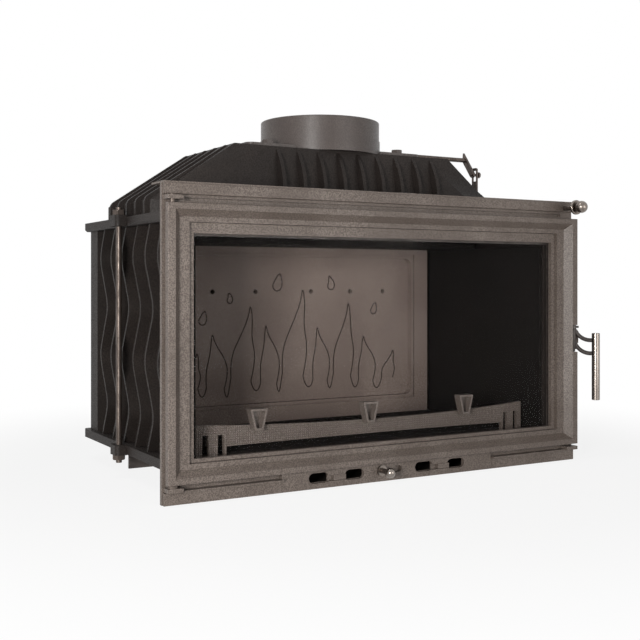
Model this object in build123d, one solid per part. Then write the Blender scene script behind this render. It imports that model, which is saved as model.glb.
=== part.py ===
from build123d import *
from math import atan2, cos, degrees, radians, sin
import os

# Cast-iron fireplace insert, in millimetres.
# X runs to the right as seen from the front, Y runs to the back, Z runs up.
# The origin is the middle of the underside of the air box, on which the insert stands.

# Body castings
body_width = 692.0
body_depth = 409.0
rim_thickness = 14.0
plate_web = 8.0
bottom_rim_z = 37.5
top_rim_z = 383.0
rim_width = 14.0
casting_wall = 5.0
side_wall_inset = 24.0
fin_inset = 8.0
fin_thickness = 5.0
fin_pitch = 51.6
fin_swing = 42.0
fin_half_wave = 78.0
fin_turn_z = 103.0
fin_turn_radius = 34.0
side_fins = 6
side_fin_start = 68.0
rear_fins = 9
rear_fin_depth = 16.0
rear_wall_inset = 21.0
post_length = 46.0
post_radius = 12.0
rear_gap = 3.0
front_flange = 12.0
glass_rebate = 7.5

# Air box under the body
base_width = 545.0
base_depth = 280.0
base_wall = 3.0
wing_width = 626.0
wing_thickness = 4.0

# Front plate, canopy strip and lower aprons
plate_width = 734.0
plate_height = 431.0
plate_thickness = 6.5
canopy_width = 732.0
canopy_height = 15.0
canopy_thickness = 5.6
canopy_return = 34.0
apron_height = 17.0
ledge_thickness = 3.0
ledge_reach = 7.0
ledge_end = 342.0
vent_low = 407.5
vent_high = 412.0
vent_left = -334.0
vent_right = 342.0
vent_web = 1.5

# Door
door_width = 730.0
door_bottom = 28.0
door_top = 404.0
door_thickness = 17.1
door_gap = 0.5
rim_side = 11.0
rim_rail = 8.6
bevel_side = 10.0
bevel_rail = 9.3
bevel_depth = 11.7
flat_side = 14.5
flat_rail = 7.0
frame_step = 5.0
ring_side = 8.0
ring_top = 15.0
ring_bottom = 5.6
ring_depth = 7.3
ring_clearance = 0.4
edge_soft = 1.2

# Glass and what holds it
glass_thickness = 4.0
glass_overlap = 4.5
clamp_thickness = 2.0
clamp_overlap = 3.0
seal_width = 8.0
seal_depth = 3.0
glass_tape = 0.6
screw_head_radius = 3.5
screw_head_height = 1.8

# Hinges
pin_radius = 4.0
running_gap = 0.05
pin_depth = 22.0
lug_width = 23.0
lug_thickness = 5.5
hinge_axis_y = 8.0

# Door handle
handle_z = 206.0
barrel_height = 40.0
barrel_radius = 6.0
neck_height = 4.0
neck_radius = 4.2
handle_inset = 3.5
handle_axis_y = 8.5
handle_pin_radius = 2.5
grip_radius = 6.7
grip_length = 112.0
grip_reach_x = 29.5
grip_reach_y = 23.5
grip_bottom = 101.0
arm_radius = 3.4
arm_drop = 17.0
arm_pitch = 22.0
finger_thickness = 3.2
finger_height = 20.0
pad_thickness = 1.8
pad_height = 26.0

# Air control under the door
cover_width = 378.0
cover_height = 27.0
slot_width = 33.0
slot_height = 15.0
slot_z = 15.3
slot_inner = 62.5
slot_outer = 123.5
slot_shift = -5.5
knob_x = -21.0
knob_z = 16.5
knob_travel = 24.0
knob_slot_width = 43.0
knob_slot_x = -5.5
stem_radius = 4.0
air_ball_radius = 7.6
air_ring_radius = 8.0
shutter_thickness = 2.5
tab_width = 21.0
tab_height = 7.5

# Hood, spigot and damper
flue_setback = 201.0
spigot_radius = 100.0
spigot_wall = 6.0
spigot_top = 566.0
spigot_step = 1.2
spigot_step_z = 534.0
hood_top = 510.0
hood_wall = 7.0
eave_z = 420.0
hood_half_base = 330.0
hood_half_top = 201.0
front_half_base = 263.0
front_half_top = 151.0
hood_front_base = 106.0
hood_front_top = 122.0
hood_corner_base = 137.0
hood_corner_top = 119.0
hood_rear_base = 328.0
hood_rear_top = 321.0
hood_rib_height = 8.0
hood_rib_top = 3.0
hood_rib_width = 6.0
hood_side_ribs = 5
hood_side_rib_pitch = 38.7
hood_side_rib_start = 141.0
front_rib_pitch = 36.6
front_rib_first = -126.0
front_ribs = 9
front_rib_reach = 9.0
flange_half_x = 165.0
flange_half_y = 62.0
flange_thickness = 8.0
flange_bolt_x = 124.0
flange_bolt_y = 48.0
bolt_hole = 5.5
spindle_z = 523.0
spindle_radius = 4.0
spindle_end = 313.0
blade_half_depth = 52.0
blade_thickness = 4.0
blade_clearance = 2.0
blade_tilt = 37.7
lever_length = 36.0
lever_width = 11.0
lever_thickness = 4.0
lever_gap = 2.0
lever_pin_radius = 2.4
pull_x = 347.0
pull_z = 422.0
pull_radius = 4.0
pull_out = 25.0
pull_ball_radius = 10.0
stop_radius = 12.0
stop_thickness = 4.0
upright_thickness = 3.0
upright_width = 14.0
upright_slot = 9.6
upright_top = 507.0
upright_step_z = 443.0

# Firebox
fireback_distance = 276.0
fireback_thickness = 10.0
fireback_half = 264.0
fireback_border = 12.0
panel_half = 228.0
panel_bottom = 92.0
panel_top = 342.0
panel_corner = 14.0
groove_set = 4.0
groove_width = 2.5
groove_depth = 4.0
firebox_top = 358.0
hearth_z = 60.0
hearth_front = 66.0
liner_front = 311.0
liner_back = 268.0
liner_start = 11.0
liner_thickness = 5.5
air_hole_radius = 4.0
air_hole_z = 282.0
air_hole_x = (-168.0, -88.0, 21.0, 102.0, 172.0)
baffle_front = 150.0
baffle_thickness = 8.0

# Grate, ash pan and log guard
well_half = 150.0
well_front = 86.0
pan_behind = 21.0
loose_gap = 2.0
grate_thickness = 12.0
grate_bar = 9.0
grate_slots = 14
pan_wall = 1.5
guard_half = 298.0
guard_end = 42.0
guard_bow = 16.0
guard_thickness = 6.0
guard_top = 96.0
guard_bottom = 64.0
guard_dip = 7.5
guard_arch = 3.5
guard_span = 252.0
guard_strip = 15.0
stud_pitch = 185.5
stud_shift = -23.0
stud_top = 28.0
stud_foot = 13.0
stud_height = 31.0
stud_z = 85.5
stud_depth = 14.0
stud_wall = 3.2

# Tie rods and bolts
rod_radius = 4.5
rod_y = 211.0
rod_x = 352.0
rod_lug = 16.0
rod_lug_width = 30.0
nut_flats = 17.0
nut_height = 8.0

# Places worked out from the sizes above
front_y = -base_depth / 2
plate_y = front_y - plate_thickness
door_y = plate_y - door_gap - door_thickness
canopy_y = plate_y - canopy_thickness
rear_y = front_y + body_depth
flue_y = rear_y - flue_setback
half_body = body_width / 2
bottom_top = bottom_rim_z + rim_thickness - 0.5
top_top = top_rim_z + rim_thickness
half_door = door_width / 2
side_out = half_body - side_wall_inset
side_in = side_out - casting_wall
fin_out = half_body - fin_inset
rear_out_y = rear_y - rear_wall_inset
rear_in_y = rear_out_y - casting_wall
fireback_y = front_y + fireback_distance
frame_in_x = half_door - rim_side - bevel_side - flat_side
frame_in_low = door_bottom + rim_rail + bevel_rail + flat_rail
frame_in_high = door_top - rim_rail - bevel_rail - flat_rail
ring_face_y = door_y + bevel_depth + frame_step
glass_y = ring_face_y + ring_depth + glass_tape
sight_x = frame_in_x - ring_side
sight_low = frame_in_low + ring_bottom
sight_high = frame_in_high - ring_top
door_round = door_thickness - hinge_axis_y
pin_x = -half_door + door_round
pin_y = door_y + hinge_axis_y
lug_top_z = plate_height - canopy_height - 2.0
lug_low_z = door_bottom - 4.0
handle_x = half_door - handle_inset
handle_y = door_y + handle_axis_y
hood_seat_z = top_top - rim_thickness + plate_web
stop_y = canopy_y - pull_out
well_back = base_depth - base_wall - pan_behind

parts = {}


def block(x0, x1, y0, y1, z0, z1):
    """A box between two corners."""
    return Pos((x0 + x1) / 2, (y0 + y1) / 2, (z0 + z1) / 2) * Box(x1 - x0, y1 - y0, z1 - z0)


def ring(half_x, z0, z1, in_x, in_z0, in_z1, y0, y1):
    """A flat rectangular ring that faces the front."""
    return block(-half_x, half_x, y0, y1, z0, z1) - block(-in_x, in_x, y0 - 1, y1 + 1, in_z0, in_z1)


def front_face(y, half_x, z0, z1):
    """A rectangle in a plane that faces the front."""
    plane = Plane(origin=(0, y, (z0 + z1) / 2), x_dir=(1, 0, 0), z_dir=(0, -1, 0))
    return plane * Rectangle(2 * half_x, z1 - z0)


def rod_x_way(x0, x1, y, z, radius):
    """A round rod along X."""
    return Pos((x0 + x1) / 2, y, z) * Rot(0, 90, 0) * Cylinder(radius, x1 - x0)


def rod_y_way(x, y0, y1, z, radius):
    """A round rod along Y."""
    return Pos(x, (y0 + y1) / 2, z) * Rot(90, 0, 0) * Cylinder(radius, y1 - y0)


def rod_z_way(x, y, z0, z1, radius):
    """A round rod along Z."""
    return Pos(x, y, (z0 + z1) / 2) * Cylinder(radius, z1 - z0)


def hex_block(across, height):
    """A hexagonal head or nut with its foot at Z = 0 and a turned crown."""
    prism = extrude(RegularPolygon(across / 2, 6, major_radius=False), height)
    crown = Pos(0, 0, height / 2 - across * 0.15) * Cone(across * 0.87, across * 0.52, height + across * 0.3)
    return prism & crown


def mirrored(shape):
    """The same piece on the other side of the insert."""
    return mirror(shape, about=Plane.YZ)


def wave_offset(z):
    """How far a fin's line lies off its middle at a height, before its turns are rounded."""
    phase = ((z - fin_turn_z) / fin_half_wave) % 2
    rise = phase if phase <= 1 else 2 - phase
    return fin_swing * (rise - 0.5)


def fin_face(z0, z1):
    """The outline of one wavy fin, drawn with its across direction along X and its height along Y."""
    heights = [z0]
    turn = fin_turn_z
    while turn < z1 - 1:
        if turn > z0 + 1:
            heights.append(turn)
        turn += fin_half_wave
    heights.append(z1)
    line = [(wave_offset(z), z) for z in heights]
    path = FilletPolyline(*line, radius=fin_turn_radius)
    other = Pos(fin_thickness, 0) * path
    low = Line(path @ 0, other @ 0)
    high = Line(path @ 1, other @ 1)
    return make_face(path.edges() + other.edges() + low.edges() + high.edges())


# Base and body castings

def make_air_box():
    """Folded steel box under the body, with the cross wall that the body stands on."""
    top = bottom_rim_z + rim_thickness - 0.5 - plate_web
    half = base_width / 2
    shape = block(-half, half, front_y, -front_y, 0, top)
    shape -= block(-half + base_wall, half - base_wall, front_y - 1, -front_y - base_wall, base_wall, top + 1)
    wing = block(-wing_width / 2, wing_width / 2, -front_y - wing_thickness, -front_y, 0, top)
    return shape + wing


def rod_lugs(z0, z1):
    """The two lugs at the sides of a rim, for the tie rods."""
    lug = block(half_body - 2, half_body + rod_lug, front_y + rod_y - rod_lug_width / 2,
                front_y + rod_y + rod_lug_width / 2, z0, z1)
    lug = fillet(lug.edges().filter_by(Axis.Z).group_by(Axis.X)[-1], 6)
    lug -= rod_z_way(rod_x, front_y + rod_y, z0 - 1, z1 + 1, rod_radius + 0.5)
    return lug + mirrored(lug)


def make_bottom_casting():
    """Base plate of the body, with its thick rim and the well for the ash pan."""
    shape = block(-half_body, half_body, front_y, rear_y, bottom_rim_z, bottom_top)
    shape = fillet(shape.edges().filter_by(Axis.Z).group_by(Axis.Y)[-1], 8)
    shape -= block(-half_body + rim_width, half_body - rim_width, front_y - 1, rear_y - rim_width,
                   bottom_rim_z - 1, bottom_top - plate_web)
    shape -= block(-well_half, well_half, front_y + well_front, front_y + well_back, 0, bottom_top + 1)
    return shape + rod_lugs(bottom_rim_z - 1.5, bottom_top)


def make_top_casting():
    """Top plate of the body, with its rim and the opening up into the hood."""
    shape = block(-half_body, half_body, front_y, rear_y, top_rim_z, top_top)
    shape = fillet(shape.edges().filter_by(Axis.Z).group_by(Axis.Y)[-1], 8)
    shape = chamfer(shape.edges().group_by(Axis.Z)[0], 3)
    shape -= block(-half_body + rim_width, half_body - rim_width, front_y - 1, rear_y - rim_width,
                   hood_seat_z, top_top + 1)
    shape -= extrude(hood_outline(0, hood_wall + 5, 0), top_top + 1)
    return shape + rod_lugs(top_rim_z, top_top + 3)


def make_side_casting():
    """Right side wall with its wavy fins, front flange and rounded corner post."""
    low = bottom_top
    high = top_rim_z
    shape = block(side_in, side_out, front_y, rear_in_y - rear_gap, low, high)
    shape += block(side_in, fin_out, front_y, front_y + front_flange, low, high)
    shape -= block(0, frame_in_x + 2.5, front_y - 1, front_y + glass_rebate, low, high)
    post = block(side_in, fin_out, rear_y - rear_gap - post_length, rear_y - rear_gap, low, high)
    outer_edges = post.edges().filter_by(Axis.Z).group_by(Axis.X)[-1]
    post = fillet(outer_edges.sort_by(Axis.Y)[-1:], post_radius)
    shape += post
    outline = fin_face(low, high)
    for number in range(side_fins):
        y = front_y + side_fin_start + number * fin_pitch
        plane = Plane(origin=(side_out - 1, y - fin_thickness / 2, 0), x_dir=(0, 1, 0), z_dir=(1, 0, 0))
        shape += extrude(plane * outline, fin_out - side_out + 1)
    return shape


def make_back_casting():
    """Rear wall with the same wavy fins."""
    low = bottom_top
    high = top_rim_z
    shape = block(-side_in + 0.5, side_in - 0.5, rear_in_y, rear_out_y, low, high)
    outline = fin_face(low, high)
    for number in range(rear_fins):
        x = (number - (rear_fins - 1) / 2) * fin_pitch
        plane = Plane(origin=(x + fin_thickness / 2, rear_out_y - 1, 0), x_dir=(-1, 0, 0), z_dir=(0, 1, 0))
        shape += extrude(plane * outline, rear_fin_depth + 1)
    return shape


def make_fireback():
    """Fireback with a raised border, a round-cornered panel and its air holes."""
    y0 = fireback_y - fireback_border
    y1 = fireback_y + fireback_thickness
    shape = block(-fireback_half, fireback_half, y0, y1, bottom_top, firebox_top)
    panel = extrude(front_face(y0, panel_half, panel_bottom, panel_top), -fireback_border)
    panel = fillet(panel.edges().filter_by(Axis.Y), panel_corner)
    shape -= panel
    groove_half = panel_half + groove_set
    groove_low = panel_bottom - groove_set
    groove_high = panel_top + groove_set
    shape -= ring(groove_half + groove_width, groove_low - groove_width, groove_high + groove_width,
                  groove_half, groove_low, groove_high, y0 - 1, y0 + groove_depth)
    for x in air_hole_x:
        shape -= rod_y_way(x, y0 - 1, y1 + 1, air_hole_z, air_hole_radius)
    return shape


def make_side_liner():
    """Right-hand liner, standing at an angle between the front and the fireback."""
    y0 = front_y + liner_start
    y1 = fireback_y - fireback_border
    outline = make_face(Polyline((liner_front, y0), (liner_front + liner_thickness, y0),
                                 (liner_back + liner_thickness, y1), (liner_back, y1), close=True))
    return Pos(0, 0, bottom_top) * extrude(outline, firebox_top - bottom_top)


def liner_x(y):
    """Where the inner face of the right-hand liner is at a depth."""
    share = (y - front_y - liner_start) / (fireback_distance - fireback_border - liner_start)
    return liner_front + share * (liner_back - liner_front)


def make_hearth_floor():
    """Raised floor plate between the liners, open for the grate."""
    y0 = front_y + hearth_front
    y1 = fireback_y - fireback_border - 0.5
    near = liner_x(y0) - 1
    far = liner_x(y1) - 1
    outline = make_face(Polyline((-near, y0), (near, y0), (far, y1), (-far, y1), close=True))
    shape = Pos(0, 0, bottom_top) * extrude(outline, hearth_z - bottom_top)
    return shape - block(-well_half, well_half, front_y + well_front, front_y + well_back, 0, hearth_z + 1)


def make_baffle():
    """Smoke baffle resting on the liners and the fireback."""
    y0 = front_y + baffle_front
    y1 = fireback_y + fireback_thickness
    near = liner_x(y0) + liner_thickness - 1
    shape = block(-near, near, y0, y1, firebox_top, firebox_top + baffle_thickness)
    return fillet(shape.edges().filter_by(Axis.Z).group_by(Axis.Y)[0], 12)


def make_grate():
    """Flat grate with lengthwise slots, resting on the ash pan's rim."""
    half = well_half - loose_gap
    y0 = front_y + well_front + loose_gap
    y1 = front_y + well_back - loose_gap
    shape = block(-half, half, y0, y1, hearth_z - grate_thickness, hearth_z)
    pitch = 2 * (half - grate_bar) / grate_slots
    for number in range(grate_slots):
        x = -half + grate_bar + pitch * (number + 0.5)
        shape -= block(x - (pitch - grate_bar) / 2, x + (pitch - grate_bar) / 2, y0 + 14, y1 - 14, 0, hearth_z + 1)
    return shape


def make_ash_pan():
    """Folded ash pan that stands on the floor of the air box."""
    half = well_half - 2 * loose_gap
    y0 = front_y + well_front + 2 * loose_gap
    y1 = front_y + well_back - 2 * loose_gap
    top = hearth_z - grate_thickness
    shape = block(-half, half, y0, y1, base_wall, top)
    return shape - block(-half + pan_wall, half - pan_wall, y0 + pan_wall, y1 - pan_wall, base_wall + pan_wall, top + 1)


# Log guard

def guard_line(offset, end_y, mid_y):
    """The guard's bowed line seen from above."""
    return ThreePointArc((-guard_half, end_y + offset), (0, mid_y + offset), (guard_half, end_y + offset))


def make_log_guard():
    """Bowed guard with a dipped top, an arched underside and two forked feet."""
    end_y = front_y + guard_end
    mid_y = end_y - guard_bow
    front = guard_line(0, end_y, mid_y)
    back = guard_line(guard_thickness, end_y, mid_y)
    sides = [Line(front @ 0, back @ 0), Line(front @ 1, back @ 1)]
    plan = make_face([front.edge(), back.edge()] + [side.edge() for side in sides])
    band = Pos(0, 0, bottom_top) * extrude(plan, guard_top - bottom_top)
    dip_radius = (guard_half ** 2 + guard_dip ** 2) / (2 * guard_dip)
    band -= rod_y_way(0, mid_y - 5, end_y + 20, guard_top - guard_dip + dip_radius, dip_radius)
    arch_radius = (guard_span ** 2 + guard_arch ** 2) / (2 * guard_arch)
    under = block(-guard_span, guard_span, mid_y - 5, end_y + 20, 0, guard_bottom + guard_arch)
    under &= rod_y_way(0, mid_y - 5, end_y + 20, guard_bottom + guard_arch - arch_radius, arch_radius)
    band -= under
    foot_top = guard_top - guard_strip
    gap = (guard_half - guard_span) / 5
    for side in (-1, 1):
        for first in (0.6, 3.1):
            low = side * (guard_span + (first - 0.35) * gap)
            high = side * (guard_span + (first + 0.95) * gap)
            notch = Polyline((low, 0), (high, 0), (high - side * gap * 0.15, foot_top),
                             (low + side * gap * 0.25, foot_top), close=True)
            plane = Plane(origin=(0, mid_y - 5, 0), x_dir=(1, 0, 0), z_dir=(0, -1, 0))
            band -= extrude(plane * make_face(notch), -(end_y - mid_y + 25))
    return band


def make_guard_studs(guard):
    """Three hollow wedge-shaped studs on the front of the guard."""
    shapes = []
    for number in (-1, 0, 1):
        x = stud_shift + number * stud_pitch
        share = abs(x) / guard_half
        face_y = front_y + guard_end - guard_bow * (1 - share ** 2) + 0.6
        outline = Polyline((x - stud_foot / 2, stud_z), (x + stud_foot / 2, stud_z),
                           (x + stud_top / 2, stud_z + stud_height), (x - stud_top / 2, stud_z + stud_height), close=True)
        plane = Plane(origin=(0, face_y, 0), x_dir=(1, 0, 0), z_dir=(0, -1, 0))
        body = make_face(outline)
        stud = extrude(plane * body, stud_depth)
        hollow = extrude(plane * offset(body, -stud_wall, kind=Kind.INTERSECTION), stud_depth + 1)
        stud -= Pos(0, -stud_wall, 0) * hollow
        shapes.append(fillet(stud.edges().filter_by(Axis.Y).group_by(Axis.Z)[-1], 1.5) - guard)
    return shapes


# Front plate and what is fixed to it

def make_front_plate():
    """Front plate with the door opening, lower aprons, ledges and the air opening."""
    half = plate_width / 2
    shape = ring(half, 0, plate_height, frame_in_x + 2.5, frame_in_low - 3, frame_in_high + 3, plate_y, front_y)
    inner = cover_width / 2 + 0.5
    for side in (-1, 1):
        ends = sorted((side * inner, side * (half - 1)))
        shape += block(ends[0], ends[1], canopy_y, plate_y, 0, apron_height)
        ends = sorted((side * inner, side * ledge_end))
        shape += block(ends[0], ends[1], canopy_y - ledge_reach, plate_y, apron_height - 0.5,
                       apron_height - 0.5 + ledge_thickness)
    reach = slot_outer + slot_width / 2 + knob_travel + 12
    shape -= block(-reach, reach, plate_y - 1, front_y + 1, 4, cover_height - 1.5)
    shape -= block(vent_left, vent_right, plate_y - 1, front_y - vent_web, vent_low, vent_high)
    return shape - rod_y_way(pull_x, plate_y - 1, front_y + 1, pull_z, pull_radius + running_gap)


def make_canopy():
    """Proud strip across the top of the front, with a return over the body."""
    half = canopy_width / 2
    low = plate_height - canopy_height
    shape = block(-half, half, canopy_y, plate_y, low, plate_height)
    shape = fillet(shape.edges().filter_by(Axis.X).group_by(Axis.Y)[0], edge_soft)
    back = front_y + canopy_return
    shelf = block(-half, half, canopy_y + 2, back, plate_height, plate_height + 2.5)
    shape += shelf
    return shape - rod_y_way(pull_x, canopy_y - 1, plate_y + 1, pull_z, pull_radius + running_gap)


def make_canopy_clip():
    """Small strap that holds the canopy's return near the middle."""
    y1 = front_y + canopy_return
    z = plate_height + 2.5
    shape = block(38, 68, y1 - 12, y1, z, z + 4)
    return fillet(shape.edges().filter_by(Axis.X).group_by(Axis.Z)[-1], 1.5)


def make_hinge_lugs():
    """Upper and lower lug on the left, which hold the hinge pins."""
    half = plate_width / 2
    shapes = []
    for z in (lug_top_z, lug_low_z):
        lug = block(-half + 2, -half + 2 + lug_width, door_y, plate_y, z - lug_thickness, z)
        lug = fillet(lug.edges().filter_by(Axis.Z).group_by(Axis.Y)[0], edge_soft)
        shapes.append(lug - rod_z_way(pin_x, pin_y, z - 10, z + 5, pin_radius))
    return shapes


def make_spare_lug():
    """The matching lower lug on the right."""
    x1 = plate_width / 2 - 2
    lug = block(x1 - lug_width, x1, door_y, plate_y, lug_low_z - lug_thickness, lug_low_z)
    return fillet(lug.edges().filter_by(Axis.Z).group_by(Axis.Y)[0], edge_soft)


def make_hinge_pins():
    """Two headed pins, pressed into the lugs and running in the door."""
    upper = rod_z_way(pin_x, pin_y, door_top - pin_depth, lug_top_z + 1.5, pin_radius)
    lower = rod_z_way(pin_x, pin_y, lug_low_z - lug_thickness, door_bottom + pin_depth, pin_radius)
    return [upper, lower]


def make_hinge_washer():
    """Washer that carries the door on the lower lug."""
    shape = rod_z_way(pin_x, pin_y, lug_low_z, door_bottom, pin_radius + 4)
    return shape - rod_z_way(pin_x, pin_y, 0, door_bottom + 1, pin_radius + running_gap)


def make_keeper_pad():
    """Hardened pad on the plate's right edge, against which the latch finger wedges."""
    half = plate_width / 2
    return block(half, half + pad_thickness, plate_y + 1, front_y - 0.5, handle_z - pad_height / 2,
                 handle_z + pad_height / 2)


# Door

def make_door_frame():
    """Door casting: flat rim, bevel, inner flat, hinge edge and handle notch."""
    shape = block(-half_door, half_door, door_y, door_y + door_thickness, door_bottom, door_top)
    hinge_edge = shape.edges().filter_by(Axis.Z).group_by(Axis.X)[0].sort_by(Axis.Y)[-1:]
    shape = fillet(hinge_edge, door_round)
    face_edges = shape.faces().sort_by(Axis.Y)[0].edges()
    shape = fillet(face_edges, edge_soft)
    outer = front_face(door_y, half_door - rim_side, door_bottom + rim_rail, door_top - rim_rail)
    inner = front_face(door_y + bevel_depth, half_door - rim_side - bevel_side,
                       door_bottom + rim_rail + bevel_rail, door_top - rim_rail - bevel_rail)
    shape -= loft([outer, inner])
    shape -= block(-frame_in_x, frame_in_x, door_y, door_y + 30, frame_in_low, frame_in_high)
    shape -= rod_z_way(pin_x, pin_y, door_top - pin_depth - 1, door_top + 1, pin_radius + running_gap)
    shape -= rod_z_way(pin_x, pin_y, door_bottom - 1, door_bottom + pin_depth + 1, pin_radius + running_gap)
    notch = barrel_height / 2 + 0.5
    shape -= block(handle_x - barrel_radius - 1.5, half_door + 1, door_y - 1, door_y + door_thickness + 1,
                   handle_z - notch - neck_height, handle_z + notch)
    shape -= rod_z_way(handle_x, handle_y, handle_z - notch - 16, handle_z + notch + 12, handle_pin_radius)
    seal_x = frame_in_x + 4.5
    groove = ring(seal_x + seal_width, frame_in_low - 4.5 - seal_width, frame_in_high + 4.5 + seal_width,
                  seal_x, frame_in_low - 4.5, frame_in_high + 4.5,
                  door_y + door_thickness - seal_depth, door_y + door_thickness + 1)
    return shape - groove


def make_door_seal():
    """Rope seal in the groove round the back of the door."""
    seal_x = frame_in_x + 4.5
    y0 = door_y + door_thickness - seal_depth
    return ring(seal_x + seal_width, frame_in_low - 4.5 - seal_width, frame_in_high + 4.5 + seal_width,
                seal_x, frame_in_low - 4.5, frame_in_high + 4.5, y0, y0 + seal_depth + 0.3)


def make_glass_ring():
    """Inner frame that the glass lies against."""
    gap = ring_clearance
    return ring(frame_in_x - gap, frame_in_low + gap, frame_in_high - gap, sight_x, sight_low, sight_high,
                ring_face_y, ring_face_y + ring_depth)


def make_glass_tape():
    """Flat tape seal between the inner frame and the glass."""
    y0 = ring_face_y + ring_depth
    return ring(sight_x + glass_overlap, sight_low - 3, sight_high + glass_overlap, sight_x, sight_low, sight_high,
                y0, y0 + glass_tape)


def make_glass():
    """Ceramic glass pane."""
    return block(-sight_x - glass_overlap, sight_x + glass_overlap, glass_y, glass_y + glass_thickness,
                 sight_low - 3, sight_high + glass_overlap)


def make_glass_clamp():
    """Sheet frame that holds the glass from behind, with spacers beside the pane."""
    y0 = ring_face_y + ring_depth
    y1 = glass_y + glass_thickness
    half = frame_in_x - ring_clearance
    shape = ring(half, frame_in_low + 0.2, frame_in_high - 0.2, sight_x + 1, sight_low - 1, sight_high - clamp_overlap,
                 y1, y1 + clamp_thickness)
    spacer_low = sight_high + glass_overlap + 1
    return shape + block(-half, half, y0, y1, spacer_low, frame_in_high - 0.2)


def make_clamp_screws():
    """Row of low-headed screws along the top of the clamp frame."""
    y1 = glass_y + glass_thickness + clamp_thickness
    z = (sight_high + glass_overlap + 1 + frame_in_high) / 2
    pitch = 2 * (frame_in_x - 20) / 4
    return [rod_y_way(-frame_in_x + 20 + pitch * number, y1, y1 + screw_head_height, z, screw_head_radius)
            for number in range(5)]


# Handle

def make_handle_pin():
    """Pin through the door's edge, on which the handle turns."""
    half = barrel_height / 2 + 12
    return rod_z_way(handle_x, handle_y, handle_z - half - neck_height, handle_z + half, handle_pin_radius)


def make_handle_barrel():
    """Barrel of the handle, with its collar, running on the pin."""
    half = barrel_height / 2
    shape = rod_z_way(handle_x, handle_y, handle_z - half, handle_z + half, barrel_radius)
    shape += rod_z_way(handle_x, handle_y, handle_z - half - neck_height, handle_z - half, neck_radius)
    shape += rod_z_way(handle_x + 2.5, handle_y - 2, handle_z + half - 4.5, handle_z + half - 1, barrel_radius + 0.8)
    return shape - rod_z_way(handle_x, handle_y, 0, door_top, handle_pin_radius + running_gap)


def make_handle_arms(finger):
    """Two curved arms from the barrel down and out to the grip."""
    reach = (grip_reach_x ** 2 + grip_reach_y ** 2) ** 0.5
    out = Vector(grip_reach_x / reach, -grip_reach_y / reach, 0)
    plane = Plane(origin=(handle_x, handle_y, 0), x_dir=out, z_dir=out.cross(Vector(0, 0, 1)))
    arms = []
    for number in range(2):
        top = handle_z + barrel_height / 2 - 8 - number * arm_pitch
        foot = top - arm_drop
        near = barrel_radius - 2
        far = reach - grip_radius
        path = plane * ThreePointArc((near, top), (near + (far - near) * 0.36, top - arm_drop * 0.72), (far, foot))
        arm = sweep((path ^ 0) * Circle(arm_radius), path)
        arm -= finger + rod_z_way(handle_x, handle_y, 0, door_top, barrel_radius)
        arms.append(arm - rod_z_way(handle_x + grip_reach_x, handle_y - grip_reach_y, 0, door_top, grip_radius))
    return arms


def make_handle_grip():
    """Straight steel grip."""
    x = handle_x + grip_reach_x
    y = handle_y - grip_reach_y
    shape = rod_z_way(x, y, grip_bottom, grip_bottom + grip_length, grip_radius)
    return chamfer(shape.edges().filter_by(GeomType.CIRCLE), 0.8)


def make_latch_finger():
    """Finger of the handle that wedges along the pad on the plate."""
    x0 = plate_width / 2 + pad_thickness + 0.4
    z0 = handle_z - finger_height / 2
    z1 = handle_z + finger_height / 2
    shape = block(x0, x0 + finger_thickness, handle_y - 2, front_y + 2, z0, z1)
    shape += block(handle_x + barrel_radius - 1, x0 + finger_thickness, handle_y - 2, handle_y + 3, z0, z1)
    return shape - rod_z_way(handle_x, handle_y, 0, door_top, barrel_radius)


# Air control

def make_air_cover():
    """Slotted cover under the door, behind which the shutter slides."""
    half = cover_width / 2
    shape = block(-half, half, canopy_y, plate_y, 0, cover_height)
    for x in slot_places():
        slot = extrude(front_slot(x, slot_z, slot_width, slot_height), -20)
        shape -= slot
    for side in (-1, 1):
        ends = sorted((slot_shift + side * slot_inner, slot_shift + side * slot_outer))
        shape -= block(ends[0], ends[1], canopy_y - 1, plate_y + 1, slot_z - slot_height / 2 + 1,
                       slot_z - slot_height / 2 + 1 + tab_height + 1)
    slot = extrude(front_slot(knob_slot_x, knob_z, knob_slot_width, 2 * stem_radius + 2), -20)
    return shape - slot


def slot_places():
    """The middles of the four air slots."""
    return [slot_shift + x for x in (-slot_outer, -slot_inner, slot_inner, slot_outer)]


def front_slot(x, z, width, height):
    """A slot with round ends, in a plane that faces the front."""
    plane = Plane(origin=(x, canopy_y - 1, z), x_dir=(1, 0, 0), z_dir=(0, -1, 0))
    return plane * SlotOverall(width, height)


def make_air_shutter():
    """Sliding shutter with four slots and two guide tabs that run in the cover."""
    y0 = plate_y + 0.3
    reach = slot_outer + slot_width / 2 + 6
    shape = block(slot_shift - reach, slot_shift + reach, y0, y0 + shutter_thickness, 5, cover_height - 3)
    for x in slot_places():
        shape -= block(x - slot_width / 2 - 1, x + slot_width / 2 + 1, y0 - 1, y0 + 5,
                       slot_z - slot_height / 2 + 0.5, slot_z + slot_height / 2 - 0.5)
    low = slot_z - slot_height / 2 + 1.5
    middle = (slot_inner + slot_outer) / 2
    for x in (-middle, middle + 2):
        shape += block(x - tab_width / 2, x + tab_width / 2, canopy_y + 0.6, y0 + 1, low, low + tab_height)
    return shape


def make_air_stem():
    """Stem of the air knob."""
    return rod_y_way(knob_x, canopy_y - 20, plate_y + 0.3, knob_z, stem_radius)


def make_air_ring():
    """Rosette on the air knob's stem, just clear of the cover."""
    y1 = canopy_y - 0.5
    shape = rod_y_way(knob_x, y1 - 3, y1, knob_z, air_ring_radius) - rod_y_way(knob_x, y1 - 9, y1 + 1, knob_z, stem_radius)
    return shape


def make_air_ball():
    """Ball of the air knob."""
    y = canopy_y - 24
    return Pos(knob_x, y, knob_z) * Sphere(air_ball_radius) - rod_y_way(knob_x, canopy_y - 20, front_y, knob_z, stem_radius)


# Hood, spigot and damper

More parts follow.
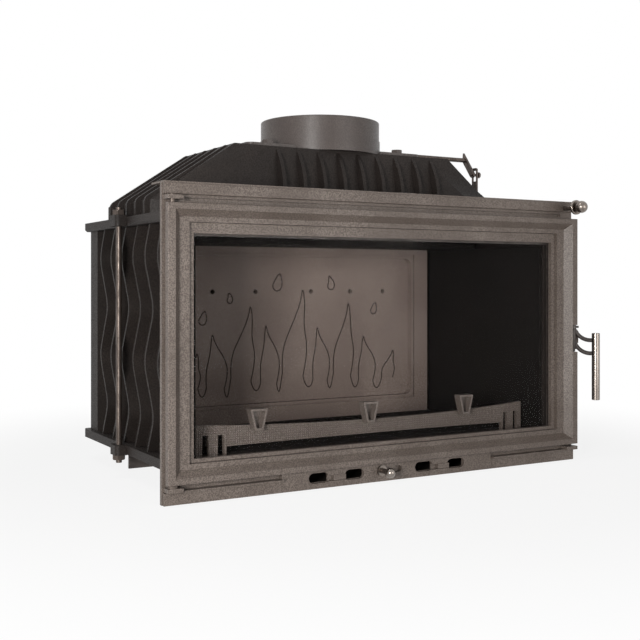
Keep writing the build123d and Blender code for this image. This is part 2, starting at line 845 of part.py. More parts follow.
def hood_outline(z, inset, share):
    """The hood's outline at a height: share 0 is the eave and share 1 is the top."""
    side = hood_half_base + share * (hood_half_top - hood_half_base) - inset
    front = front_half_base + share * (front_half_top - front_half_base) - inset * 0.6
    near = front_y + hood_front_base + share * (hood_front_top - hood_front_base) + inset
    corner = front_y + hood_corner_base + share * (hood_corner_top - hood_corner_base) + inset * 1.2
    far = front_y + hood_rear_base + share * (hood_rear_top - hood_rear_base) - inset
    points = [(-side, far), (-side, corner), (-front, near), (front, near), (side, corner), (side, far)]
    return Pos(0, 0, z) * make_face(Polyline(*points, close=True))


def hood_shell(inset, low, turn, high):
    """The hood's solid, straight up to its eave and then tapering to its top."""
    share = (high - eave_z) / (hood_top - eave_z)
    body = extrude(hood_outline(low, inset, 0), turn - low)
    return body + loft([hood_outline(turn, inset, 0), hood_outline(high, inset, share)], ruled=True)


def hood_side_rib(y):
    """A rib that climbs the right side of the hood from eave to top."""
    run = hood_half_base - hood_half_top
    rise = hood_top - eave_z
    slope = (run ** 2 + rise ** 2) ** 0.5
    lift = hood_rib_height
    outline = Polyline((hood_half_base - 9, hood_seat_z), (hood_half_base + 1, hood_seat_z),
                       (hood_half_base + 1, top_top + 1), (hood_half_base + lift, top_top + 1),
                       (hood_half_base + lift, eave_z + lift * 0.35),
                       (hood_half_top + hood_rib_top * rise / slope + 5, hood_top + hood_rib_top * run / slope - 4),
                       (hood_half_top - 4, hood_top - 2), (hood_half_top - 8, hood_top - 8),
                       (hood_half_base - 12, eave_z - 6), close=True)
    plane = Plane(origin=(0, y + hood_rib_width / 2, 0), x_dir=(1, 0, 0), z_dir=(0, -1, 0))
    rib = extrude(plane * make_face(outline), hood_rib_width)
    bend = rib.edges().filter_by(Axis.Y).sort_by(Axis.X)[-2:].sort_by(Axis.Z)[-1:]
    return fillet(bend, 14)


def hood_front_rib(x):
    """A rib on the front of the hood that swells towards its foot."""
    near = front_y + hood_front_base
    far = front_y + hood_front_top
    low_y = near - front_rib_reach
    foot = Line((far + 3, hood_top - 2), (near + 6, hood_seat_z))
    curve = ThreePointArc((far + 1, hood_top - 2), (low_y + 4.5, (hood_top + eave_z) / 2 + 3), (low_y, eave_z + 4))
    down = Line((low_y, eave_z + 4), (low_y, hood_seat_z))
    ends = [Line((far + 1, hood_top - 2), (far + 3, hood_top - 2)), Line((low_y, hood_seat_z), (near + 6, hood_seat_z))]
    outline = make_face([curve.edge(), down.edge(), ends[1].edge(), foot.edge(), ends[0].edge()])
    plane = Plane(origin=(x - hood_rib_width / 2, 0, 0), x_dir=(0, 1, 0), z_dir=(1, 0, 0))
    return extrude(plane * outline, hood_rib_width)


def flue_bore(z0, z1):
    """The flue's bore, cut flat at the front where the hood's wall passes under the spigot."""
    bore = rod_z_way(0, flue_y, z0, z1, spigot_radius - spigot_wall)
    return bore & block(-spigot_radius, spigot_radius, front_y + hood_front_top + hood_wall + 1, rear_y, z0, z1)


def make_hood():
    """Hollow ribbed hood with its seat and the bore for the flue."""
    shape = hood_shell(0, hood_seat_z, eave_z, hood_top)
    for number in range(hood_side_ribs):
        rib = hood_side_rib(front_y + hood_side_rib_start + number * hood_side_rib_pitch)
        shape += rib
        shape += mirrored(rib)
    for number in range(front_ribs):
        shape += hood_front_rib(front_rib_first + number * front_rib_pitch)
    shape -= hood_shell(hood_wall, hood_seat_z - 1, eave_z - 3, hood_top - hood_wall)
    return shape - flue_bore(hood_top - hood_wall - 2, hood_top + 1)


def make_spigot():
    """Flue spigot with its bolting flange and the two bosses of the damper spindle."""
    half_x = flange_half_x
    shape = block(-half_x, half_x, flue_y - flange_half_y, flue_y + flange_half_y, hood_top, hood_top + flange_thickness)
    shape = fillet(shape.edges().filter_by(Axis.Z), 12)
    shape += rod_z_way(0, flue_y, hood_top, spigot_top, spigot_radius)
    shape += rod_z_way(0, flue_y, hood_top, spigot_step_z, spigot_radius + spigot_step)
    boss = rod_x_way(spigot_radius - 4, spigot_radius + 7, flue_y, spindle_z + 1, 9)
    boss &= block(0, 2 * spigot_radius, flue_y - spigot_radius, flue_y + spigot_radius, hood_top, spigot_top)
    shape += boss + mirrored(boss)
    shape = fillet(shape.edges().filter_by(GeomType.CIRCLE).group_by(Axis.Z)[-1], 1.5)
    shape -= flue_bore(hood_top - 1, spigot_top)
    shape -= rod_z_way(0, flue_y, hood_top + flange_thickness, spigot_top + 1, spigot_radius - spigot_wall)
    shape -= rod_x_way(-2 * spigot_radius, 2 * spigot_radius, flue_y, spindle_z, spindle_radius + running_gap)
    for x, y in flange_bolts():
        shape -= rod_z_way(x, y, hood_top - 1, hood_top + flange_thickness + 1, bolt_hole)
    return shape


def flange_bolts():
    """The places of the four flange bolts."""
    return [(i * flange_bolt_x, flue_y + j * flange_bolt_y) for i in (-1, 1) for j in (-1, 1)]


def make_flange_bolts():
    """Four hexagonal bolt heads with short shanks in the flange."""
    shapes = []
    for x, y in flange_bolts():
        head = Pos(x, y, hood_top + flange_thickness) * hex_block(nut_flats, 6.4)
        shapes.append(head + rod_z_way(x, y, hood_top, hood_top + flange_thickness, bolt_hole - 0.1))
    return shapes


def make_spindle():
    """Damper spindle, square to the flue, with a turned end for the lever."""
    return rod_x_way(-spigot_radius - 14, spindle_end, flue_y, spindle_z, spindle_radius)


def make_blade():
    """Damper blade: a disc cut flat on two sides so that it never shuts the flue."""
    radius = spigot_radius - spigot_wall - blade_clearance
    disc = Cylinder(radius, blade_thickness) & Box(2 * radius, 2 * blade_half_depth, 20)
    hub = Rot(0, 90, 0) * Cylinder(spindle_radius + 3, 2 * radius - 16)
    turned = Rot(-blade_tilt, 0, 0) * (disc + hub)
    return Pos(0, flue_y, spindle_z) * turned - rod_x_way(-spigot_radius, spigot_radius, flue_y, spindle_z, spindle_radius)


def lever_tip():
    """Where the lever's pin is, from the spindle's axis."""
    angle = radians(blade_tilt)
    return -lever_length * sin(angle), -lever_length * cos(angle)


def make_lever():
    """Lever on the spindle's end, leaning towards the front, with a pointed top."""
    dy, dz = lever_tip()
    x0 = spindle_end - 2 - lever_thickness
    angle = degrees(atan2(-dy, -dz))
    outline = Polyline((-lever_width / 2, -lever_length), (lever_width / 2, -lever_length), (lever_width / 2, 2),
                       (-lever_width / 2, 13), close=True)
    plane = Plane(origin=(x0, flue_y, spindle_z), x_dir=(0, 1, 0), z_dir=(1, 0, 0))
    plate = extrude(plane * Rot(0, 0, -angle) * make_face(outline), lever_thickness)
    plate += rod_x_way(x0, x0 + lever_thickness, flue_y + dy, spindle_z + dz, lever_width / 2)
    plate -= rod_x_way(x0 - 1, x0 + 20, flue_y, spindle_z, spindle_radius)
    return plate - rod_x_way(x0 - 1, x0 + 20, flue_y + dy, spindle_z + dz, lever_pin_radius)


def make_lever_pin():
    """Headed pin from the lever into the slot of the pull rod's upright."""
    dy, dz = lever_tip()
    x0 = spindle_end - 2 - lever_thickness - 3
    x1 = spindle_end + lever_gap + upright_thickness + 2
    shape = rod_x_way(x0, x1, flue_y + dy, spindle_z + dz, lever_pin_radius)
    return shape + rod_x_way(x1, x1 + 4, flue_y + dy, spindle_z + dz, lever_pin_radius + 3.2)


def make_pull_rod():
    """Pull rod from the front of the canopy back to the upright."""
    back = flue_y + lever_tip()[0] + upright_width / 2
    return rod_y_way(pull_x, stop_y - 10, back, pull_z, pull_radius)


def make_upright():
    """Slotted upright that joins the pull rod to the lever's pin."""
    dy, dz = lever_tip()
    x0 = spindle_end + lever_gap - 2
    x1 = x0 + upright_thickness
    y = flue_y + dy
    y0 = y - upright_width / 2
    y1 = y + upright_width / 2
    shape = block(x0, x1, y0, y1, upright_step_z, upright_top)
    shape = fillet(shape.edges().filter_by(Axis.X).group_by(Axis.Z)[-1], 4)
    low = spindle_z - lever_length - lever_pin_radius - 2
    high = spindle_z + dz + lever_pin_radius + 5
    shape -= block(x0 - 1, x1 + 1, y - upright_slot / 2, y + upright_slot / 2, low, high)
    half = upright_thickness / 2
    shape += block(x0, pull_x + half, y0, y1, upright_step_z, upright_step_z + upright_thickness)
    shape += block(pull_x - half, pull_x + half, y0, y1, pull_z, upright_step_z + 1)
    return shape - rod_y_way(pull_x, y0 - 1, y1 + 1, pull_z, pull_radius)


def make_pull_stop():
    """Rosette on the pull rod, which meets the canopy when the damper is shut."""
    y0 = stop_y - stop_thickness
    shape = rod_y_way(pull_x, y0, stop_y, pull_z, stop_radius)
    shape = fillet(shape.edges().filter_by(GeomType.CIRCLE).group_by(Axis.Y)[0], 1.2)
    return shape - rod_y_way(pull_x, y0 - 1, stop_y + 1, pull_z, pull_radius)


def make_pull_ball():
    """Ball of the pull rod."""
    y = stop_y - 14
    return Pos(pull_x, y, pull_z) * Sphere(pull_ball_radius) - rod_y_way(pull_x, stop_y - 10, front_y, pull_z, pull_radius)


# Tie rods

def make_tie_rods():
    """Two long rods that clamp the top casting to the bottom one."""
    y = front_y + rod_y
    rod = rod_z_way(rod_x, y, bottom_rim_z - 14, top_top + 15, rod_radius)
    return [rod, mirrored(rod)]


def make_rod_nuts():
    """Nuts on both ends of the tie rods."""
    y = front_y + rod_y
    nut = hex_block(nut_flats, nut_height) - Cylinder(rod_radius, 4 * nut_height)
    upper = Pos(rod_x, y, top_top + 3) * nut
    lower = Pos(rod_x, y, bottom_rim_z - 1.5) * Rot(180, 0, 0) * nut
    return [upper, lower, mirrored(upper), mirrored(lower)]


side = make_side_casting()
liner = make_side_liner()

parts["air_box"] = make_air_box()
parts["bottom_casting"] = make_bottom_casting()
parts["top_casting"] = make_top_casting()
parts["right_side_casting"] = side
parts["left_side_casting"] = mirrored(side)
parts["back_casting"] = make_back_casting()
parts["tie_rods"] = make_tie_rods()
parts["tie_rod_nuts"] = make_rod_nuts()
parts["hearth_floor"] = make_hearth_floor()
parts["fireback"] = make_fireback()
parts["right_liner"] = liner
parts["left_liner"] = mirrored(liner)
parts["smoke_baffle"] = make_baffle()
parts["grate"] = make_grate()
parts["ash_pan"] = make_ash_pan()
parts["log_guard"] = make_log_guard()
parts["guard_studs"] = make_guard_studs(parts["log_guard"])
parts["front_plate"] = make_front_plate()
parts["canopy"] = make_canopy()
parts["canopy_clip"] = make_canopy_clip()
parts["hinge_lugs"] = make_hinge_lugs()
parts["spare_lug"] = make_spare_lug()
parts["hinge_pins"] = make_hinge_pins()
parts["hinge_washer"] = make_hinge_washer()
parts["keeper_pad"] = make_keeper_pad()
parts["door_frame"] = make_door_frame()
parts["door_seal"] = make_door_seal()
parts["glass_ring"] = make_glass_ring()
parts["glass_tape"] = make_glass_tape()
parts["door_glass"] = make_glass()
parts["glass_clamp"] = make_glass_clamp()
parts["clamp_screws"] = make_clamp_screws()
parts["handle_pin"] = make_handle_pin()
parts["handle_barrel"] = make_handle_barrel()
parts["latch_finger"] = make_latch_finger()
parts["handle_arms"] = make_handle_arms(parts["latch_finger"])
parts["handle_grip"] = make_handle_grip()
parts["air_cover"] = make_air_cover()
parts["air_shutter"] = make_air_shutter()
parts["air_stem"] = make_air_stem()
parts["air_ring"] = make_air_ring()
parts["air_ball"] = make_air_ball()
parts["hood"] = make_hood()
parts["flue_spigot"] = make_spigot()
parts["flange_bolts"] = make_flange_bolts()
parts["damper_spindle"] = make_spindle()
parts["damper_blade"] = make_blade()
parts["damper_lever"] = make_lever()
parts["lever_pin"] = make_lever_pin()
parts["pull_rod"] = make_pull_rod()
parts["pull_upright"] = make_upright()
parts["pull_stop"] = make_pull_stop()
parts["pull_ball"] = make_pull_ball()

os.makedirs("parts", exist_ok=True)
for name, shape in parts.items():
    solids = Compound(children=shape) if isinstance(shape, list) else shape
    export_step(solids, f"parts/{name}.step")
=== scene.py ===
from math import pi, radians

import bpy
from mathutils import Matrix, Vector


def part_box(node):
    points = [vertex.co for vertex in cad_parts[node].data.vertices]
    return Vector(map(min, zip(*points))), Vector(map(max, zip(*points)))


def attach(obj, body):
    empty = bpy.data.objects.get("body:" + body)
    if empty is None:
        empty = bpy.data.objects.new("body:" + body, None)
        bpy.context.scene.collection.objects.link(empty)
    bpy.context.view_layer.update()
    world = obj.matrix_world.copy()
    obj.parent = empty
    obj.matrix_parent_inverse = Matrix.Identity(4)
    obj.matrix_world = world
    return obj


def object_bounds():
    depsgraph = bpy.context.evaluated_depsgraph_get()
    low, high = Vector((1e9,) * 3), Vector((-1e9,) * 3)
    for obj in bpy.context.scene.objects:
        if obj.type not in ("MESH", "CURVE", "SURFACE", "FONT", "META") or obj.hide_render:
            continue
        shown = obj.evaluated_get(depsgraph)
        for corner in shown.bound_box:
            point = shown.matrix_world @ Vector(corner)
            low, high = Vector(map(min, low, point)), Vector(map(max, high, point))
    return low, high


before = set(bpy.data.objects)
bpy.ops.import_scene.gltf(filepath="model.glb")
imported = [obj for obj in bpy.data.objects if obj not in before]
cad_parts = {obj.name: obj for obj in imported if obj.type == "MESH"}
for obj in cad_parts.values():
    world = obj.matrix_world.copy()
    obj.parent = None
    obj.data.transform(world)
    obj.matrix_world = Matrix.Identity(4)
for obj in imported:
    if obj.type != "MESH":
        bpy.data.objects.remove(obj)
cadLow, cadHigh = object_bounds()
print("frame loaded:", len(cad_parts), "nodes")

# Shader sockets as numbers

class Signal:  # one shader socket that can be used in sums
    def __init__(self, tree, socket):
        self.tree = tree
        self.socket = socket

    def put(self, kind, links, settings=None, out=0):  # adds a node and gives back one of its outputs
        node = self.tree.nodes.new(kind)
        for name, value in (settings or {}).items():
            setattr(node, name, value)
        for name, value in links.items():
            if isinstance(value, Signal):
                self.tree.links.new(value.socket, node.inputs[name])
            else:
                node.inputs[name].default_value = value
        return Signal(self.tree, node.outputs[out])

    def math(self, operation, first, second):
        return self.put("ShaderNodeMath", {0: first, 1: second}, {"operation": operation})

    def __add__(self, other):
        return self.math("ADD", self, other)

    def __radd__(self, other):
        return self.math("ADD", other, self)

    def __sub__(self, other):
        return self.math("SUBTRACT", self, other)

    def __rsub__(self, other):
        return self.math("SUBTRACT", other, self)

    def __mul__(self, other):
        return self.math("MULTIPLY", self, other)

    def __rmul__(self, other):
        return self.math("MULTIPLY", other, self)

    def noise(self, scale, detail, rough=0.55, stretch=None):  # a cloudy pattern from 0 to 1
        place = self
        if stretch:
            place = self.put("ShaderNodeMapping", {"Vector": self, "Scale": stretch})
        return self.put("ShaderNodeTexNoise",
                        {"Vector": place, "Scale": scale, "Detail": detail, "Roughness": rough})

    def bands(self, scale, way):  # even bands across one direction
        return self.put("ShaderNodeTexWave", {"Vector": self, "Scale": scale},
                        {"wave_type": "BANDS", "bands_direction": way})

    def bump(self, strength, distance):  # this signal as a height, made a surface normal
        return self.put("ShaderNodeBump", {"Strength": strength, "Distance": distance, "Height": self})

    def between(self, low, high, first=0.0, last=1.0):  # the signal spread from one range to another
        return self.put("ShaderNodeMapRange", {"Value": self, "From Min": low, "From Max": high,
                                               "To Min": first, "To Max": last},
                        {"interpolation_type": "SMOOTHSTEP"})

    def blend(self, first, second):  # two colours mixed by this signal
        return self.put("ShaderNodeMix", {0: self, 6: first, 7: second}, {"data_type": "RGBA"}, 2)

    def wire(self, socket):  # feeds this signal into a socket of a node that is already there
        self.tree.links.new(self.socket, socket)


def rgb(red, green, blue):  # a colour written as the eye reads it, 0 to 255
    def linear(value):
        value /= 255
        return value / 12.92 if value <= 0.04045 else ((value + 0.055) / 1.055) ** 2.4
    return (linear(red), linear(green), linear(blue), 1.0)


white = (1.0, 1.0, 1.0, 1.0)


def newMaterial(name, colour):  # a material, its shader node and the object coordinates
    material = bpy.data.materials.new(name)
    material.use_nodes = True
    material.diffuse_color = colour
    tree = material.node_tree
    shader = tree.nodes["Principled BSDF"]
    coords = Signal(tree, tree.nodes.new("ShaderNodeTexCoord").outputs["Object"])
    return material, tree, shader, coords


# Finishes

castFinish = {  # each paint: its colours, the scale of its grain, its bump, its gloss and any knurl
    "frontPaint": {"light": rgb(119, 109, 102), "dark": rgb(72, 63, 58), "patch": rgb(101, 91, 84),
                   "grain": 620.0, "bump": 0.0005, "strength": 0.5,
                   "roughness": (0.36, 0.52), "specular": 0.3},
    # the body paint is a darker copy of the front paint: painted shade for the shaded side castings and the
    # hood's recess
    "bodyPaintShaded": {"light": rgb(46, 40, 37), "dark": rgb(28, 24, 22), "patch": rgb(36, 31, 29),
                  "grain": 520.0, "bump": 0.0005, "strength": 0.4,
                  "roughness": (0.48, 0.68), "specular": 0.2},
    "spigotPaint": {"light": rgb(92, 84, 80), "dark": rgb(62, 55, 52), "patch": rgb(76, 68, 65),
                    "grain": 620.0, "bump": 0.0003, "strength": 0.4,
                    "roughness": (0.3, 0.45), "specular": 0.4},
    "insidePaint": {"light": rgb(24, 20, 18), "dark": rgb(13, 11, 10), "patch": rgb(18, 15, 13),
                    "grain": 480.0, "bump": 0.0003, "strength": 0.2,
                    "roughness": (0.7, 0.9), "specular": 0.1},
    "firebackPaint": {"light": rgb(132, 119, 112), "dark": rgb(100, 88, 82), "patch": rgb(112, 99, 93),
                      "grain": 420.0, "bump": 0.0004, "strength": 0.35,
                      "roughness": (0.5, 0.7), "specular": 0.15},
    "guardPaint": {"light": rgb(136, 126, 119), "dark": rgb(76, 67, 62), "patch": rgb(112, 102, 95),
                   "grain": 600.0, "bump": 0.0006, "strength": 0.8,
                   "roughness": (0.4, 0.6), "specular": 0.3,
                   "knurl": {"scale": 95.0, "height": 1.6, "rest": 0.4, "paintedGrooveShade": 0.7}},
    "studPaint": {"light": rgb(116, 107, 101), "dark": rgb(78, 69, 64), "patch": rgb(98, 89, 83),
                  "grain": 620.0, "bump": 0.0003, "strength": 0.3,
                  "roughness": (0.35, 0.5), "specular": 0.3},
    # dark paint for the flame lines: painted shade standing for the shade inside cast grooves
    "flameLineShadePaint": {"light": rgb(60, 51, 47), "dark": rgb(40, 33, 30), "patch": rgb(50, 42, 38),
                  "grain": 420.0, "bump": 0.0003, "strength": 0.2,
                  "roughness": (0.5, 0.7), "specular": 0.1},
}

castPattern = {  # what all cast paints share
    "sandFiner": 2.4,
    "patchScale": 9.0,
    "patchEdge": (0.35, 0.65),
    "speckleEdge": (0.38, 0.62),
    "speckleShare": 0.75,
    "grainHeight": 0.6,
}


def castPaint(name):  # stove paint over sand-cast iron
    look = castFinish[name]
    material, tree, shader, coords = newMaterial(name, look["light"])
    grain = coords.noise(look["grain"], 2.0)
    sand = coords.noise(look["grain"] * castPattern["sandFiner"], 1.0)
    patches = coords.noise(castPattern["patchScale"], 4.0).between(*castPattern["patchEdge"])
    speckle = grain.between(*castPattern["speckleEdge"])
    mask = speckle * castPattern["speckleShare"] + sand * (1 - castPattern["speckleShare"])
    height = grain * castPattern["grainHeight"] + sand * (1 - castPattern["grainHeight"])
    knurl = look.get("knurl")
    if knurl:  # rows of small bosses, with painted shade darkening the grooves between them
        bosses = coords.bands(knurl["scale"], "X") * coords.bands(knurl["scale"], "Z")
        height = height * knurl["rest"] + bosses * knurl["height"]
        # painted shade: the colour mask darkens in the grooves between the bosses
        mask = mask * (bosses * knurl["paintedGrooveShade"] + (1 - knurl["paintedGrooveShade"]))
    mask.blend(look["dark"], patches.blend(look["light"], look["patch"])).wire(shader.inputs["Base Color"])
    (1.0 - speckle).between(0.0, 1.0, *look["roughness"]).wire(shader.inputs["Roughness"])
    height.bump(look["strength"], look["bump"]).wire(shader.inputs["Normal"])
    shader.inputs["Specular IOR Level"].default_value = look["specular"]
    return material


metalFinish = {  # each metal: its colours, its gloss, and the scale and stretch of its fine lines
    "polishedSteel": {"light": rgb(146, 138, 131), "dark": rgb(106, 98, 92), "metal": 1.0,
                      "roughness": (0.34, 0.2), "scale": 90.0, "stretch": (1.0, 1.0, 0.08), "bump": 0.00005},
    "dullSteel": {"light": rgb(98, 88, 82), "dark": rgb(66, 58, 53), "metal": 0.75,
                  "roughness": (0.52, 0.34), "scale": 260.0, "stretch": (1.0, 1.0, 0.2), "bump": 0.0001},
    "blackSteel": {"light": rgb(62, 56, 53), "dark": rgb(38, 33, 31), "metal": 0.4,
                   "roughness": (0.6, 0.4), "scale": 300.0, "stretch": (1.0, 1.0, 1.0), "bump": 0.0002},
    "sheetSteel": {"light": rgb(74, 67, 63), "dark": rgb(50, 44, 41), "metal": 0.3,
                   "roughness": (0.6, 0.42), "scale": 160.0, "stretch": (0.3, 1.0, 1.0), "bump": 0.0001},
}

metalPattern = {"cloudScale": 30.0, "lineShare": 0.7, "edge": (0.3, 0.7), "strength": 0.3}


def bareMetal(name):  # drawn or turned metal with fine lines
    look = metalFinish[name]
    material, tree, shader, coords = newMaterial(name, look["light"])
    lines = coords.noise(look["scale"], 4.0, 0.6, look["stretch"])
    cloud = coords.noise(metalPattern["cloudScale"], 3.0)
    mixed = lines * metalPattern["lineShare"] + cloud * (1 - metalPattern["lineShare"])
    mask = mixed.between(*metalPattern["edge"])
    mask.blend(look["dark"], look["light"]).wire(shader.inputs["Base Color"])
    mask.between(0.0, 1.0, *look["roughness"]).wire(shader.inputs["Roughness"])
    lines.bump(metalPattern["strength"], look["bump"]).wire(shader.inputs["Normal"])
    shader.inputs["Metallic"].default_value = look["metal"]
    return material


glassFinish = {"tint": rgb(226, 220, 214), "roughness": 0.04, "blend": 0.25, "edge": 0.02, "face": 0.0006}


def clearGlass(name):  # ceramic glass: clear, with a faint gloss that grows at the edge of view
    material, tree, shader, coords = newMaterial(name, glassFinish["tint"])
    clear = coords.put("ShaderNodeBsdfTransparent", {"Color": white})
    gloss = coords.put("ShaderNodeBsdfAnisotropic", {"Color": white, "Roughness": glassFinish["roughness"]})
    edge = coords.put("ShaderNodeLayerWeight", {"Blend": glassFinish["blend"]}, out=1)
    share = edge.between(0.0, 1.0, glassFinish["face"], glassFinish["edge"])
    mixed = share.put("ShaderNodeMixShader", {0: share, 1: clear, 2: gloss})
    mixed.wire(tree.nodes["Material Output"].inputs["Surface"])
    tree.nodes.remove(shader)
    return material


ropeFinish = {
    "light": rgb(60, 58, 56),
    "dark": rgb(24, 23, 22),
    "scale": 190.0,
    "slant": 45,
    "distortion": 1.5,
    "fibreScale": 900.0,
    "weaveShare": 0.7,
    "strength": 0.6,
    "bump": 0.0008,
    "roughness": 0.9,
}


def wovenRope(name):  # graphited glass-fibre rope
    material, tree, shader, coords = newMaterial(name, ropeFinish["light"])
    turn = (0.0, radians(ropeFinish["slant"]), 0.0)
    slant = coords.put("ShaderNodeMapping", {"Vector": coords, "Rotation": turn})
    weave = slant.put("ShaderNodeTexWave", {"Vector": slant, "Scale": ropeFinish["scale"],
                                            "Distortion": ropeFinish["distortion"]})
    fibre = coords.noise(ropeFinish["fibreScale"], 2.0)
    mask = weave * ropeFinish["weaveShare"] + fibre * (1 - ropeFinish["weaveShare"])
    mask.blend(ropeFinish["dark"], ropeFinish["light"]).wire(shader.inputs["Base Color"])
    mask.bump(ropeFinish["strength"], ropeFinish["bump"]).wire(shader.inputs["Normal"])
    shader.inputs["Roughness"].default_value = ropeFinish["roughness"]
    return material


finishes = {name: castPaint(name) for name in castFinish}
finishes.update({name: bareMetal(name) for name in metalFinish})
finishes["clearGlass"] = clearGlass("clearGlass")
finishes["wovenRope"] = wovenRope("wovenRope")

finishOf = {
    "frontPaint": ["front_plate", "canopy", "door_frame", "air_cover", "hinge_lugs", "spare_lug",
                   "glass_ring", "canopy_clip", "air_shutter"],
    # body castings and hood get the darker paint, which is painted shade over the same cast finish
    "bodyPaintShaded": ["bottom_casting", "top_casting", "right_side_casting", "left_side_casting",
                  "back_casting", "hood"],
    "spigotPaint": ["flue_spigot", "flange_bolts"],
    "insidePaint": ["right_liner", "left_liner", "smoke_baffle", "hearth_floor", "grate"],
    "firebackPaint": ["fireback"],
    "guardPaint": ["log_guard"],
    "studPaint": ["guard_studs"],
    "polishedSteel": ["handle_grip", "air_ring", "air_ball", "pull_stop", "pull_ball"],
    "dullSteel": ["tie_rods", "tie_rod_nuts", "hinge_pins", "hinge_washer", "keeper_pad", "handle_pin",
                  "latch_finger", "damper_spindle", "pull_rod", "air_stem", "clamp_screws",
                  "damper_lever", "lever_pin", "pull_upright"],
    "blackSteel": ["handle_barrel", "handle_arms"],
    "sheetSteel": ["air_box", "ash_pan", "glass_clamp", "damper_blade"],
    "clearGlass": ["door_glass"],
    "wovenRope": ["door_seal", "glass_tape"],
}
for finish, nodes in finishOf.items():
    for node in nodes:
        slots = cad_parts[node].data.materials
        slots.clear()
        slots.append(finishes[finish])
print("finishes set on", sum(len(nodes) for nodes in finishOf.values()), "nodes")

# Flame lines on the fireback: a loose row of tongues and drops of my own layout, made as thin raised beads
# painted dark as painted shade for the cast grooves

flameLines = {
    "panelDeep": 0.012,  # how far the panel lies behind the fireback's border
    "proud": 0.0007,
    "radius": 0.0011,
    "sides": 3,
    "steps": 5,
    "loopDrop": 0.016,
    "loopStep": (0.002, 0.010),
    "tongueShape": [  # from foot to tip to foot: shares of the half width, the lean and the height
        (-1.0, 0.0, 0.10), (-1.1, 0.0, 0.34), (-0.45, 0.5, 0.62), (-0.12, 1.0, 0.84), (0.0, 1.0, 1.0),
        (0.22, 1.0, 0.82), (0.75, 0.0, 0.58), (1.15, 0.0, 0.32), (0.7, 0.0, 0.06),
    ],
    "dropShape": [  # round the drop from its tip, in the same shares
        (0.0, 1.0, 1.0), (-0.5, 0.0, 0.55), (-1.0, 0.0, 0.25), (-0.3, 0.0, 0.0), (0.7, 0.0, 0.08),
        (1.0, 0.0, 0.4), (0.6, 0.4, 0.7),
    ],
    "tongues": [  # each tongue: foot x, foot z, height, half width, lean
        (-0.205, 0.118, 0.064, 0.015, 0.009),
        (-0.160, 0.112, 0.102, 0.019, -0.008),
        (-0.112, 0.122, 0.140, 0.022, 0.014),
        (-0.060, 0.116, 0.112, 0.018, -0.008),
        (-0.012, 0.124, 0.168, 0.024, 0.016),
        (0.042, 0.118, 0.104, 0.017, -0.008),
        (0.088, 0.122, 0.144, 0.021, 0.010),
        (0.138, 0.114, 0.090, 0.018, -0.008),
        (0.184, 0.120, 0.056, 0.014, 0.010),
    ],
    "drops": [  # each drop: x, foot z, height, half width, lean
        (-0.186, 0.226, 0.026, 0.008, 0.004),
        (-0.136, 0.262, 0.020, 0.006, -0.003),
        (-0.046, 0.282, 0.034, 0.010, 0.005),
        (0.062, 0.284, 0.028, 0.008, -0.005),
        (0.152, 0.240, 0.024, 0.007, 0.004),
    ],
}


def outlinePoints(shape, x, z, high, half, lean):  # a tongue's or a drop's outline at its place
    return [(x + across * half + aside * lean, z + up * high) for across, aside, up in shape]


def loopPoints(start, stop):  # a low loop from one tongue's foot to the next one's
    aside, down = flameLines["loopStep"]
    middle = ((start[0] + stop[0]) / 2, min(start[1], stop[1]) - flameLines["loopDrop"])
    return [start, (start[0] + aside, start[1] - down), middle, (stop[0] - aside, stop[1] - down), stop]


def lineTube(points, closed, place):  # a soft line of even thickness, half sunk in its wall
    curve = bpy.data.curves.new("flameLine", "CURVE")
    curve.dimensions = "3D"
    curve.bevel_depth = flameLines["radius"]
    curve.bevel_resolution = flameLines["sides"]
    curve.resolution_u = flameLines["steps"]
    curve.use_fill_caps = True
    spline = curve.splines.new("NURBS")
    spline.points.add(len(points) - 1)
    for point, (x, z) in zip(spline.points, points):
        point.co = (x, place, z, 1.0)
    spline.order_u = 3
    spline.use_endpoint_u = not closed
    spline.use_cyclic_u = closed
    piece = bpy.data.objects.new("flameLine", curve)
    bpy.context.scene.collection.objects.link(piece)
    return piece


def makeFlameLines():
    low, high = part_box("fireback")
    place = low.y + flameLines["panelDeep"] + flameLines["radius"] - flameLines["proud"]
    tongues = [outlinePoints(flameLines["tongueShape"], *row) for row in flameLines["tongues"]]
    loops = [loopPoints(tongue[-1], after[0]) for tongue, after in zip(tongues, tongues[1:])]
    drops = [outlinePoints(flameLines["dropShape"], *row) for row in flameLines["drops"]]
    lines = [lineTube(points, False, place) for points in tongues + loops]
    lines += [lineTube(points, True, place) for points in drops]
    bpy.ops.object.select_all(action="DESELECT")
    for line in lines:
        line.select_set(True)
    bpy.context.view_layer.objects.active = lines[0]
    bpy.ops.object.convert(target="MESH")
    bpy.ops.object.join()
    piece = bpy.context.view_layer.objects.active
    piece.name = "flameLines"
    piece.data.materials.clear()
    # the lines' dark colour is painted shade standing for the shade in cast grooves
    piece.data.materials.append(finishes["flameLineShadePaint"])
    bpy.ops.object.mode_set(mode="EDIT")
    bpy.ops.mesh.select_all(action="SELECT")
    bpy.ops.mesh.normals_make_consistent(inside=False)
    bpy.ops.object.mode_set(mode="OBJECT")
    bpy.ops.object.shade_smooth()
    bpy.ops.object.select_all(action="DESELECT")
    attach(piece, "insert")


makeFlameLines()
print("flame lines made")

# Floor, light and camera

stage = {
    "floorSize": 14.0,
    "floorGap": 0.0005,
    "floorColour": rgb(240, 240, 240),
    "floorRoughness": 0.95,
    "floorSpecular": 0.1,
    "near": 0.45,  # inside this distance the paper keeps nearShare of its white
    "far": 1.1,
    "nearShare": 0.86,
    "worldStrength": 0.09,
}


def pictureRays(tree):  # 1 where the camera, gloss and glass look, 0 for the light itself
    path = tree.nodes.new("ShaderNodeLightPath")
    camera, glossy, through = [Signal(tree, path.outputs[name])
                               for name in ("Is Camera Ray", "Is Glossy Ray", "Is Transmission Ray")]
    return (camera + glossy + through).between(0.0, 1.0)


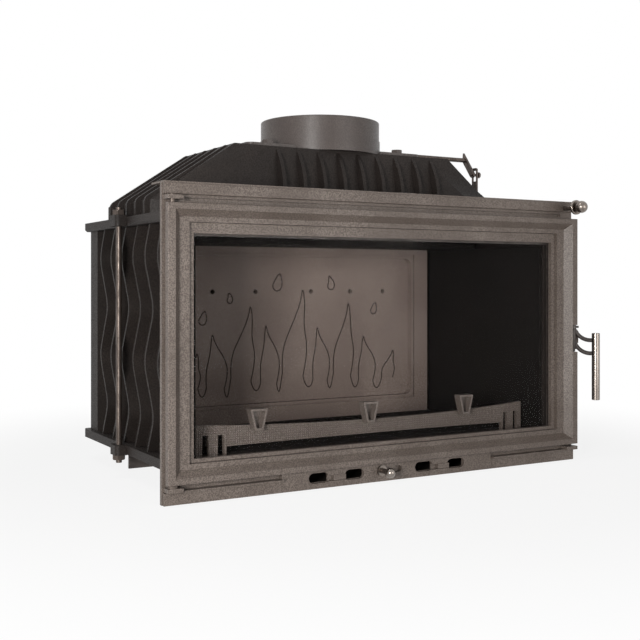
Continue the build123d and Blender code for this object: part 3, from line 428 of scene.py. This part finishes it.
def makeFloor():  # pale paper that fades to white away from the object and keeps its shadow
    bpy.ops.mesh.primitive_plane_add(size=stage["floorSize"], location=(0, 0, cadLow.z - stage["floorGap"]))
    floor = bpy.context.active_object
    floor.name = "floor"
    material, tree, shader, coords = newMaterial("floorPaper", stage["floorColour"])
    shader.inputs["Base Color"].default_value = stage["floorColour"]
    shader.inputs["Roughness"].default_value = stage["floorRoughness"]
    shader.inputs["Specular IOR Level"].default_value = stage["floorSpecular"]
    away = coords.put("ShaderNodeVectorMath", {0: coords}, {"operation": "LENGTH"}, 1)
    share = away.between(stage["near"], stage["far"], stage["nearShare"], 1.0) * pictureRays(tree)
    glow = coords.put("ShaderNodeEmission", {"Color": white, "Strength": 1.0})
    plain = Signal(tree, shader.outputs["BSDF"])
    mixed = share.put("ShaderNodeMixShader", {0: share, 1: plain, 2: glow})
    mixed.wire(tree.nodes["Material Output"].inputs["Surface"])
    floor.data.materials.append(material)


def makeWorld():  # white where the camera, gloss and glass look past the object
    world = bpy.data.worlds.new("studio")
    bpy.context.scene.world = world
    world.use_nodes = True
    background = world.node_tree.nodes["Background"]
    background.inputs["Color"].default_value = white
    strength = pictureRays(world.node_tree).between(0.0, 1.0, stage["worldStrength"], 1.0)
    strength.wire(background.inputs["Strength"])


lamps = {  # each lamp: where it hangs, where it points, its size, its power and its colour
    "softBox": {"at": (0.7, -2.0, 0.3), "to": (0.0, -0.1, 0.2), "size": (1.2, 0.9), "power": 13.0,
                "colour": (1.0, 0.98, 0.96)},
    "sideLamp": {"at": (-1.5, -1.4, 0.34), "to": (0.05, -0.1, 0.2), "size": (0.45, 0.45), "power": 36.0,
                 "colour": (1.0, 0.99, 0.97)},
    "topLamp": {"at": (-0.9, -0.3, 2.0), "to": (-0.1, 0.05, 0.4), "size": (0.5, 0.5), "power": 6.0,
                "colour": (1.0, 1.0, 1.0)},
}


def makeLamps():
    for name, lamp in lamps.items():
        light = bpy.data.lights.new(name, "AREA")
        light.shape = "RECTANGLE"
        light.size, light.size_y = lamp["size"]
        light.energy = lamp["power"]
        light.color = lamp["colour"]
        holder = bpy.data.objects.new(name, light)
        bpy.context.scene.collection.objects.link(holder)
        holder.location = lamp["at"]
        toward = Vector(lamp["to"]) - Vector(lamp["at"])
        holder.rotation_euler = toward.to_track_quat("-Z", "Y").to_euler()


view = {"at": (-0.8606, -1.4227, 0.296), "turn": 30.0, "lens": 57.15, "sensor": 36.0, "shift": -0.057,
        "clip": 0.05}


def makeCamera():
    camera = bpy.data.cameras.new("camera")
    camera.lens = view["lens"]
    camera.sensor_width = view["sensor"]
    camera.shift_y = view["shift"]
    camera.clip_start = view["clip"]
    holder = bpy.data.objects.new("camera", camera)
    bpy.context.scene.collection.objects.link(holder)
    holder.location = view["at"]
    holder.rotation_euler = (pi / 2, 0.0, -radians(view["turn"]))
    bpy.context.scene.camera = holder


makeFloor()
makeWorld()
makeLamps()
makeCamera()
bpy.context.scene.view_settings.view_transform = "Standard"
print("stage, light and camera set")
